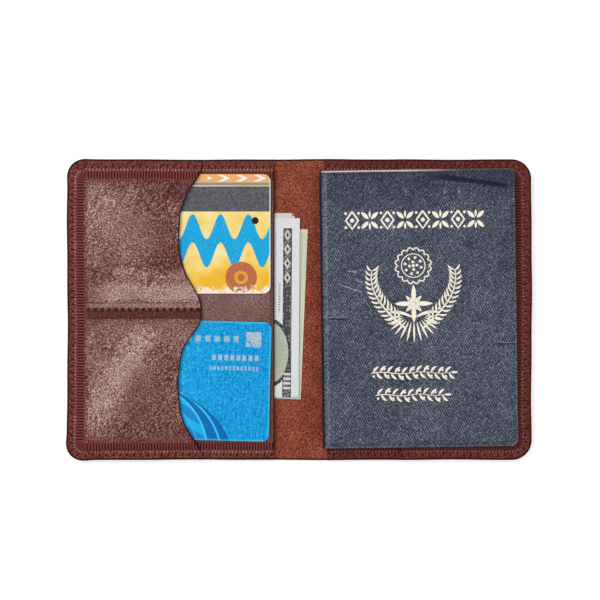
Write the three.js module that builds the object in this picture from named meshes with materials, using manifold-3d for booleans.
// Travel document organizer: a leather passport wallet lying open flat, with a
// booklet, two cards and three folded notes in its pockets.
// Millimetres. +X points right, +Y away, +Z up; the origin is under the middle of the spine.
import * as THREE from "three";
import { mergeVertices } from "three/addons/utils/BufferGeometryUtils.js";
import Module from "manifold-3d";

const wasm = await Module();
wasm.setup();

// ---- driving dimensions ------------------------------------------------------------
const HALF_W = 105.0;            // half the open width
const HALF_H = 68.0;             // half the height
const CORNER_R = 9.0;            // outer corners
const COVER_T = 1.4;             // outer leather
const LINING_T = 0.9;            // inner panels
const FRONT_T = 1.0;             // pocket and sleeve fronts
const LAYER_GAP = 0.1;           // between sheets that are stitched together
const FOLD_X = 6.0;              // the two fold lines stand this far from the middle
const FOLD_CUT = 0.3;            // width of the cut at a fold line
const NOTE_RISE = 0.7;           // how far the left lining lifts over the notes
const CARD_RISE = 0.86;          // how far the pocket front lifts over a card
const BOOK_RISE = 0.7;           // how far the sleeve front lifts over the booklet's cover

const LINING_LOW = COVER_T + LAYER_GAP;
const FRONT_LOW = LINING_LOW + LINING_T + LAYER_GAP;
const PLATEAU_Z = FRONT_LOW + NOTE_RISE;

const LEFT_LINING_EDGE = -11.4;
const RIGHT_LINING_TOP = 11.6;
const RIGHT_LINING_BOTTOM = 12.8;

const SEAM_LEFT = 2.4;           // stitching's distance from each edge
const SEAM_RIGHT = 2.7;
const SEAM_TOP = 3.5;
const SEAM_TOP_RIGHT = 3.3;
const SEAM_BOTTOM = 2.4;
const THREAD_W = 0.5;
const THREAD_H = 0.34;
const GROOVE_W = 0.8;
const GROOVE_DEEP = 0.46;

const CARD_W = 85.6;             // ID-1 card
const CARD_H = 53.98;
const CARD_T = 0.76;
const CARD_R = 3.18;
const CARD_Z = PLATEAU_Z;
const UPPER_CARD = { x: -56.0, y: 34.15, turn: 0 };
const LOWER_CARD = { x: -56.1, y: -31.8, turn: -1.4 };
const PUNCH = { x: -20.1, y: 40.1, r: 1.6 };

const NOTE_W = 66.3;             // a folded note's width
const NOTE_T = 0.16;
const NOTES = [
  { name: "banknote_back", x: -31.05, y: -0.85, h: 77.1, turn: -2.4, z: 1.48 },
  { name: "banknote_middle", x: -35.5, y: 4.2, h: 79.0, turn: -0.2, z: 1.70 },
  { name: "banknote_front", x: -33.35, y: 1.0, h: 81.0, turn: -0.42, z: 1.92 },
];

const BOOK_W = 88.0;             // ID-3 booklet
const BOOK_H = 125.0;
const BOOK_R = 3.0;
const BOOK = { x: 53.6, y: 0.45, turn: 0.8 };
const BOOK_COVER_T = 0.6;
const BOOK_Z = 2.5;
const SPINE_WALL = 0.6;
const PAGE_STEP_LOW = 31.2;      // the leaves step up over the sleeve front here
const PAGE_STEP_HIGH = 33.0;
const BACK_LEAVES_TOP = 5.2;
const FRONT_LEAVES = [5.3, 6.4];
const BOOK_FRONT = [6.5, 7.1];

// ---- colours -------------------------------------------------------------------------
const LEATHER = 0x5a2c28;
const LINING = 0x5c3a36;
const SUEDE = 0x8a4a38;
const THREAD = 0x7d5240;
const PAPER = 0xd9d3c0;
const BOOKLET = 0x3c465c;

const group = new THREE.Group();
group.name = "travel_document_organizer";

// ---- solids ----------------------------------------------------------------------------
function toManifold(geometry) {
  const plain = geometry.clone();
  plain.deleteAttribute("normal");
  plain.deleteAttribute("uv");
  const merged = mergeVertices(plain, 1e-5);
  return new wasm.Manifold(new wasm.Mesh({
    numProp: 3,
    vertProperties: new Float32Array(merged.attributes.position.array),
    triVerts: new Uint32Array(merged.index.array),
  }));
}

function fromManifold(solid) {
  const mesh = solid.getMesh();
  const geometry = new THREE.BufferGeometry();
  geometry.setAttribute("position", new THREE.BufferAttribute(mesh.vertProperties, 3));
  geometry.setIndex(new THREE.BufferAttribute(mesh.triVerts, 1));
  return geometry;
}

function add(name, geometry, colour, roughness = 0.6) {
  const material = new THREE.MeshStandardMaterial({ color: colour, roughness, metalness: 0 });
  material.name = name;
  const mesh = new THREE.Mesh(geometry, material);
  mesh.name = name;
  group.add(mesh);
  return mesh;
}

// A flat plate: an outline of [x, y] points carried from z0 to z1.
function plate(points, z0, z1, holes = []) {
  const shape = new THREE.Shape(points.map(([x, y]) => new THREE.Vector2(x, y)));
  for (const hole of holes) {
    shape.holes.push(new THREE.Path(hole.map(([x, y]) => new THREE.Vector2(x, y))));
  }
  const geometry = new THREE.ExtrudeGeometry(shape, { depth: z1 - z0, bevelEnabled: false });
  geometry.translate(0, 0, z0);
  return geometry;
}

// Points of a rounded corner, centre (cx, cy), from one angle to the other in degrees.
function corner(cx, cy, r, from, to, steps = 6) {
  const points = [];
  for (let i = 0; i <= steps; i += 1) {
    const a = ((from + ((to - from) * i) / steps) * Math.PI) / 180;
    points.push([cx + r * Math.cos(a), cy + r * Math.sin(a)]);
  }
  return points;
}

// A rectangle about the origin; each corner has its own radius, counted from +X +Y round to +X -Y.
function roundedRectangle(w, h, radii) {
  const [a, b, c, d] = radii;
  const bend = (sx, sy, r, from) => (r > 0
    ? corner(sx * (w / 2 - r), sy * (h / 2 - r), r, from, from + 90, 5)
    : [[(sx * w) / 2, (sy * h) / 2]]);
  return [...bend(1, 1, a, 0), ...bend(-1, 1, b, 90), ...bend(-1, -1, c, 180), ...bend(1, -1, d, 270)];
}

// Moves points from a piece's own frame to its place.
function place(points, at) {
  const t = (at.turn * Math.PI) / 180;
  return points.map(([x, y]) => [
    at.x + x * Math.cos(t) - y * Math.sin(t),
    at.y + x * Math.sin(t) + y * Math.cos(t),
  ]);
}

// A leather sheet of constant thickness whose underside follows lift(x, y) on a grid of lines.
function sheet(xs, ys, thickness, lift) {
  const nx = xs.length;
  const ny = ys.length;
  const positions = [];
  for (const top of [0, thickness]) {
    for (const y of ys) {
      for (const x of xs) positions.push(x, y, lift(x, y) + top);
    }
  }
  const at = (i, j, level) => level * nx * ny + j * nx + i;
  const index = [];
  const quad = (a, b, c, d) => index.push(a, b, c, a, c, d);
  for (let j = 0; j + 1 < ny; j += 1) {
    for (let i = 0; i + 1 < nx; i += 1) {
      quad(at(i, j, 1), at(i + 1, j, 1), at(i + 1, j + 1, 1), at(i, j + 1, 1));
      quad(at(i, j, 0), at(i, j + 1, 0), at(i + 1, j + 1, 0), at(i + 1, j, 0));
    }
  }
  for (let i = 0; i + 1 < nx; i += 1) {
    quad(at(i, 0, 0), at(i + 1, 0, 0), at(i + 1, 0, 1), at(i, 0, 1));
    quad(at(i + 1, ny - 1, 0), at(i, ny - 1, 0), at(i, ny - 1, 1), at(i + 1, ny - 1, 1));
  }
  for (let j = 0; j + 1 < ny; j += 1) {
    quad(at(0, j + 1, 0), at(0, j, 0), at(0, j, 1), at(0, j + 1, 1));
    quad(at(nx - 1, j, 0), at(nx - 1, j + 1, 0), at(nx - 1, j + 1, 1), at(nx - 1, j, 1));
  }
  const geometry = new THREE.BufferGeometry();
  geometry.setAttribute("position", new THREE.Float32BufferAttribute(positions, 3));
  geometry.setIndex(index);
  return geometry;
}

// A sheet trimmed to an outline.
function trimmed(sheetGeometry, outline) {
  return fromManifold(toManifold(sheetGeometry).intersect(toManifold(plate(outline, -5, 15))));
}

// A thread or groove: a six-sided section w wide and h high carried along [x, y, z] points,
// z being the height of its underside.
function cord(path, w, h) {
  const positions = [];
  const index = [];
  const section = [[-0.5, 0.5], [-0.28, 0], [0.28, 0], [0.5, 0.5], [0.28, 1], [-0.28, 1]];
  const sides = section.length;
  for (let i = 0; i < path.length; i += 1) {
    const before = path[Math.max(i - 1, 0)];
    const after = path[Math.min(i + 1, path.length - 1)];
    const dx = after[0] - before[0];
    const dy = after[1] - before[1];
    const length = Math.hypot(dx, dy);
    for (const [s, t] of section) {
      positions.push(
        path[i][0] + (s * w * dy) / length,
        path[i][1] - (s * w * dx) / length,
        path[i][2] + t * h,
      );
    }
  }
  for (let i = 0; i + 1 < path.length; i += 1) {
    for (let k = 0; k < sides; k += 1) {
      const a = i * sides + k;
      const b = i * sides + ((k + 1) % sides);
      index.push(a, b, b + sides, a, b + sides, a + sides);
    }
  }
  const last = (path.length - 1) * sides;
  for (let k = 1; k + 1 < sides; k += 1) {
    index.push(0, k + 1, k);
    index.push(last, last + k, last + k + 1);
  }
  const geometry = new THREE.BufferGeometry();
  geometry.setAttribute("position", new THREE.Float32BufferAttribute(positions, 3));
  geometry.setIndex(index);
  const solid = toManifold(geometry);
  return solid.volume() > 0 ? geometry : flipped(geometry);
}

function flipped(geometry) {
  const turned = geometry.clone();
  const index = Array.from(turned.index.array);
  for (let i = 0; i < index.length; i += 3) [index[i], index[i + 1]] = [index[i + 1], index[i]];
  turned.setIndex(index);
  return turned;
}

// Runs from 0 at a to 1 at b along one direction.
function ramp(value, a, b) {
  return Math.min(Math.max((value - a) / (b - a), 0), 1);
}

// ---- outlines ------------------------------------------------------------------------------
const leftOuter = [
  ...corner(-HALF_W + CORNER_R, HALF_H - CORNER_R, CORNER_R, 90, 180, 7),
  ...corner(-HALF_W + CORNER_R, -HALF_H + CORNER_R, CORNER_R, 180, 270, 7),
];
const rightOuter = [
  ...corner(HALF_W - CORNER_R, -HALF_H + CORNER_R, CORNER_R, 270, 360, 7),
  ...corner(HALF_W - CORNER_R, HALF_H - CORNER_R, CORNER_R, 0, 90, 7),
];

// The card pocket front's free edge, from the top down: two thumb scoops with a tongue between.
const SCOOPED_EDGE = [
  [-44.0, 68.0], [-45.0, 61.0], [-50.2, 53.4], [-53.7, 44.4], [-54.4, 33.3], [-54.0, 25.0],
  [-51.6, 16.7], [-48.1, 10.5], [-45.4, 5.6], [-44.3, 2.2], [-44.3, 0.0], [-44.3, -4.8],
  [-46.0, -8.2], [-49.6, -12.9], [-52.6, -17.9], [-54.0, -24.7], [-54.7, -31.7], [-54.4, -40.0],
  [-53.7, -46.2], [-51.6, -52.5], [-48.1, -58.0], [-45.4, -62.2], [-43.2, -68.0],
];
// The passport sleeve front's free edge, from the bottom up: one long thumb cut.
const SLEEVE_EDGE = [
  [45.3, -68.0], [45.4, -62.2], [48.1, -58.0], [51.6, -52.5], [53.7, -46.2], [54.6, -38.0],
  [55.0, -20.0], [55.0, 0.0], [55.0, 20.0], [54.4, 33.3], [53.7, 44.4], [50.2, 53.4],
  [45.0, 61.0], [43.9, 68.0],
];

function smooth(points, steps) {
  const curve = new THREE.SplineCurve(points.map(([x, y]) => new THREE.Vector2(x, y)));
  return curve.getPoints(steps).map((p) => [p.x, p.y]);
}

const scooped = smooth(SCOOPED_EDGE, 52);
const sleeveEdge = smooth(SLEEVE_EDGE, 30);

// ---- stitching paths ---------------------------------------------------------------------------
function seam(side, xSpine, top, bottom, outer) {
  const xOut = HALF_W - outer;
  const yTop = HALF_H - top;
  const yLow = -HALF_H + bottom;
  const r = CORNER_R - (outer + bottom) / 2;
  const points = [
    [xSpine, yTop],
    ...corner(xOut - r, yTop - r, r, 90, 0, 9),
    ...corner(xOut - r, yLow + r, r, 0, -90, 9),
    [xSpine, yLow],
  ];
  return points.map(([x, y]) => [side * x, y]);
}

const leftSeam = seam(-1, -LEFT_LINING_EDGE + 1.6, SEAM_TOP, SEAM_BOTTOM, SEAM_LEFT);
const rightSeam = seam(1, RIGHT_LINING_BOTTOM + 1.2, SEAM_TOP_RIGHT, SEAM_BOTTOM, SEAM_RIGHT);

// ---- outer cover: one leather piece, parted at its two fold lines ---------------------------------
const foldLeft = -FOLD_X - FOLD_CUT / 2;
const foldRight = FOLD_X + FOLD_CUT / 2;

function grooved(outline, path) {
  const body = toManifold(plate(outline, 0, COVER_T));
  return fromManifold(body.subtract(cutterAlong(path, GROOVE_W, GROOVE_DEEP)));
}

// A square-sided cutter under a seam, open at the underside.
function cutterAlong(path, w, deep) {
  const left = [];
  const right = [];
  for (let i = 0; i < path.length; i += 1) {
    const before = path[Math.max(i - 1, 0)];
    const after = path[Math.min(i + 1, path.length - 1)];
    const dx = after[0] - before[0];
    const dy = after[1] - before[1];
    const length = Math.hypot(dx, dy);
    const end = i === 0 ? -0.5 : i === path.length - 1 ? 0.5 : 0;
    const x = path[i][0] + (end * dx) / length;
    const y = path[i][1] + (end * dy) / length;
    left.push([x - (dy / length) * (w / 2), y + (dx / length) * (w / 2)]);
    right.push([x + (dy / length) * (w / 2), y - (dx / length) * (w / 2)]);
  }
  return toManifold(plate([...left, ...right.reverse()], -1, deep));
}

add("cover_left_panel", grooved([
  [foldLeft, HALF_H], ...leftOuter, [foldLeft, -HALF_H],
], leftSeam), LEATHER);
add("cover_spine", plate([
  [foldLeft + FOLD_CUT, HALF_H], [foldLeft + FOLD_CUT, -HALF_H],
  [foldRight - FOLD_CUT, -HALF_H], [foldRight - FOLD_CUT, HALF_H],
], 0, COVER_T), SUEDE, 0.85);
add("cover_right_panel", grooved([
  [foldRight, -HALF_H], ...rightOuter, [foldRight, HALF_H],
], rightSeam), LEATHER);

// ---- dished sheets --------------------------------------------------------------------------------
// How far a point lies up the slope from the stitched border to the raised middle, 0 to 1. Each
// edge has its own pair of distances, where the slope starts and ends, blended round the corners.
function raised(x, y, slope) {
  const side = HALF_W - Math.abs(x);
  const end = HALF_H - Math.abs(y);
  const across = y > 0 ? slope.top : slope.bottom;
  if (side < CORNER_R && end < CORNER_R) {
    const t = Math.atan2(CORNER_R - end, CORNER_R - side) / (Math.PI / 2);
    const from = slope.side[0] * (1 - t) + across[0] * t;
    const to = slope.side[1] * (1 - t) + across[1] * t;
    return ramp(CORNER_R - Math.hypot(CORNER_R - side, CORNER_R - end), from, to);
  }
  return ramp(side, ...slope.side) * ramp(end, ...across);
}

const LEFT_SLOPE = { side: [2.8, 5.3], top: [3.8, 6.7], bottom: [3.2, 6.2] };
const RIGHT_SLOPE = { side: [3.0, 6.2], top: [3.6, 4.28], bottom: [2.8, 5.1] };
const offDivider = (y) => (y > 0 ? ramp(y, 1.3, 4.6) : ramp(y, -1.3, -3.5));

const fromSides = (slope, extra) => [-1, 1.5, slope.side[0], 4.1, slope.side[1], 7.5, 9, ...extra];
const LEFT_XS = fromSides(LEFT_SLOPE, [100]).map((d) => d - HALF_W);
const RIGHT_XS = fromSides(RIGHT_SLOPE, [70]).map((d) => HALF_W - d).reverse();
const gridYs = (slope, middle) => [
  ...[-1, 1.5, slope.bottom[0], 4.2, slope.bottom[1], 7.5, 9].map((d) => d - HALF_H),
  ...middle,
  ...[-1, 1.5, slope.top[0], (slope.top[0] + slope.top[1]) / 2, slope.top[1], 7.5, 9]
    .map((d) => HALF_H - d).reverse(),
];
const LEFT_YS = gridYs(LEFT_SLOPE, [-3.5, -1.3, 1.3, 4.6]);
const RIGHT_YS = gridYs(RIGHT_SLOPE, [0]);

const liftLining = (x, y) => LINING_LOW + NOTE_RISE * raised(x, y, LEFT_SLOPE);
const liftPocket = (x, y) => (
  FRONT_LOW + (NOTE_RISE + CARD_RISE * offDivider(y)) * raised(x, y, LEFT_SLOPE)
);
const liftSleeve = (x, y) => FRONT_LOW + BOOK_RISE * raised(x, y, RIGHT_SLOPE);

// ---- left half: lining and card pocket front ------------------------------------------------------
add("left_lining_panel", trimmed(sheet(LEFT_XS, LEFT_YS, LINING_T, liftLining), [
  [LEFT_LINING_EDGE, HALF_H], ...leftOuter, [LEFT_LINING_EDGE, -HALF_H],
]), LINING);
add("card_pocket_front", trimmed(sheet(LEFT_XS, LEFT_YS, FRONT_T, liftPocket), [
  ...leftOuter, ...scooped.slice().reverse(),
]), LEATHER);

// ---- right half: lining and passport sleeve front ---------------------------------------------------
add("right_lining_panel", plate([
  [RIGHT_LINING_BOTTOM, -HALF_H], ...rightOuter, [RIGHT_LINING_TOP, HALF_H],
], LINING_LOW, LINING_LOW + LINING_T), LINING);
add("passport_sleeve_front", trimmed(sheet(RIGHT_XS, RIGHT_YS, FRONT_T, liftSleeve), [
  ...rightOuter, ...sleeveEdge.slice().reverse(),
]), LEATHER);

// ---- seams laid on the sheets ---------------------------------------------------------------------------
// A seam rides on the front beyond the front's free edge, and on the lining before it.
function laid(path, topEdge, bottomEdge, liftFront) {
  const low = LINING_LOW + LINING_T + 0.03;
  const over = (x, y) => {
    const around = [-0.35, 0, 0.35].flatMap((u) => [-0.35, 0, 0.35].map((v) => [x + u, y + v]));
    return Math.max(...around.map(([u, v]) => liftFront(u, v))) + FRONT_T + 0.12;
  };
  const n = path.length;
  const side = Math.sign(path[0][0]);
  const stepAt = (edge, y) => [
    [side * (edge - 0.75), y, low],
    [side * (edge - 0.4), y, over(side * (edge + 1), y)],
  ];
  return [
    [path[0][0], path[0][1], low],
    ...stepAt(topEdge, path[0][1]),
    ...path.slice(1, n - 1).map(([x, y]) => [x, y, over(x, y)]),
    ...stepAt(bottomEdge, path[n - 1][1]).reverse(),
    [path[n - 1][0], path[n - 1][1], low],
  ];
}

// ---- stitching ----------------------------------------------------------------------------------------
add("left_edge_stitching", cord(laid(leftSeam, 44.4, 43.9, liftPocket), THREAD_W, THREAD_H), THREAD);
add("right_edge_stitching", cord(laid(rightSeam, 44.3, 45.4, liftSleeve), THREAD_W, THREAD_H), THREAD);
const under = (path) => path.map(([x, y]) => [x, y, 0.06]);
add("left_edge_bobbin_thread", cord(under(leftSeam), THREAD_W, THREAD_H), THREAD);
add("right_edge_bobbin_thread", cord(under(rightSeam), THREAD_W, THREAD_H), THREAD);

const dividerTop = (x) => liftPocket(x, 0) + FRONT_T + 0.03;
add("pocket_divider_stitching", cord([
  ...[-101.6, -100.9, -99.7, -72.0, -44.7].map((x) => [x, 0.0, dividerTop(x)]),
  [-43.8, 0.0, dividerTop(-60)],
  [-43.4, 0.0, PLATEAU_Z - LAYER_GAP + 0.03],
  [-42.6, 0.0, PLATEAU_Z - LAYER_GAP + 0.03],
], THREAD_W, THREAD_H), THREAD);

// ---- cards -----------------------------------------------------------------------------------------------
const cardOutline = roundedRectangle(CARD_W, CARD_H, [CARD_R, CARD_R, CARD_R, CARD_R]);
const punchHole = corner(PUNCH.x, PUNCH.y, PUNCH.r, 360, 22.5, 15);
add("upper_card", plate(place(cardOutline, UPPER_CARD), CARD_Z, CARD_Z + CARD_T, [punchHole]),
  0xe2bd52, 0.35);
add("lower_card", plate(place(cardOutline, LOWER_CARD), CARD_Z, CARD_Z + CARD_T), 0x1fa5de, 0.35);

// ---- folded notes ------------------------------------------------------------------------------------------
for (const note of NOTES) {
  const outline = place(roundedRectangle(NOTE_W, note.h, [0, 0, 0, 0]), note);
  add(note.name, plate(outline, note.z, note.z + NOTE_T), PAPER, 0.9);
}

// ---- booklet ------------------------------------------------------------------------------------------------
const bookOutline = (left, right, inset) => {
  const w = right - left;
  const at = (left + right) / 2 - BOOK_W / 2;
  return roundedRectangle(w, BOOK_H - 2 * inset, [BOOK_R, 0, 0, BOOK_R]).map(([x, y]) => [x + at, y]);
};
const bookPlate = (left, right, inset, z0, z1) => (
  toManifold(plate(place(bookOutline(left, right, inset), BOOK), z0, z1))
);

const backBoard = bookPlate(0, BOOK_W, 0, BOOK_Z, BOOK_Z + BOOK_COVER_T);
const spineWall = toManifold(plate(place([
  [-BOOK_W / 2, -BOOK_H / 2], [-BOOK_W / 2 + SPINE_WALL, -BOOK_H / 2],
  [-BOOK_W / 2 + SPINE_WALL, BOOK_H / 2], [-BOOK_W / 2, BOOK_H / 2],
], BOOK), BOOK_Z, FRONT_LEAVES[1] - 0.1));
add("passport_back_cover", fromManifold(backBoard.add(spineWall)), BOOKLET, 0.7);

const sleeveTop = PLATEAU_Z + FRONT_T + LAYER_GAP;
const stepLow = PAGE_STEP_LOW - BOOK_W / 2;
const stepHigh = PAGE_STEP_HIGH - BOOK_W / 2;
const leaves = bookPlate(0.8, BOOK_W - 1.2, 0.8, BOOK_Z + BOOK_COVER_T + LAYER_GAP, BACK_LEAVES_TOP);
const clearance = new THREE.Shape([
  new THREE.Vector2(stepLow, 0), new THREE.Vector2(60, 0),
  new THREE.Vector2(60, sleeveTop), new THREE.Vector2(stepHigh, sleeveTop),
  new THREE.Vector2(stepLow, BOOK_Z + BOOK_COVER_T + LAYER_GAP),
]);
const clearanceSolid = new THREE.ExtrudeGeometry(clearance, { depth: 160, bevelEnabled: false });
clearanceSolid.rotateX(Math.PI / 2);
clearanceSolid.translate(0, 80, 0);
clearanceSolid.rotateZ((BOOK.turn * Math.PI) / 180);
clearanceSolid.translate(BOOK.x, BOOK.y, 0);
add("passport_back_leaves", fromManifold(leaves.subtract(toManifold(clearanceSolid))), PAPER, 0.9);
add("passport_front_leaves", plate(
  place(bookOutline(0.8, BOOK_W - 1.2, 0.8), BOOK), FRONT_LEAVES[0], FRONT_LEAVES[1],
), PAPER, 0.9);
add("passport_front_cover", plate(
  place(bookOutline(0, BOOK_W, 0), BOOK), BOOK_FRONT[0], BOOK_FRONT[1],
), BOOKLET, 0.7);

export default group;
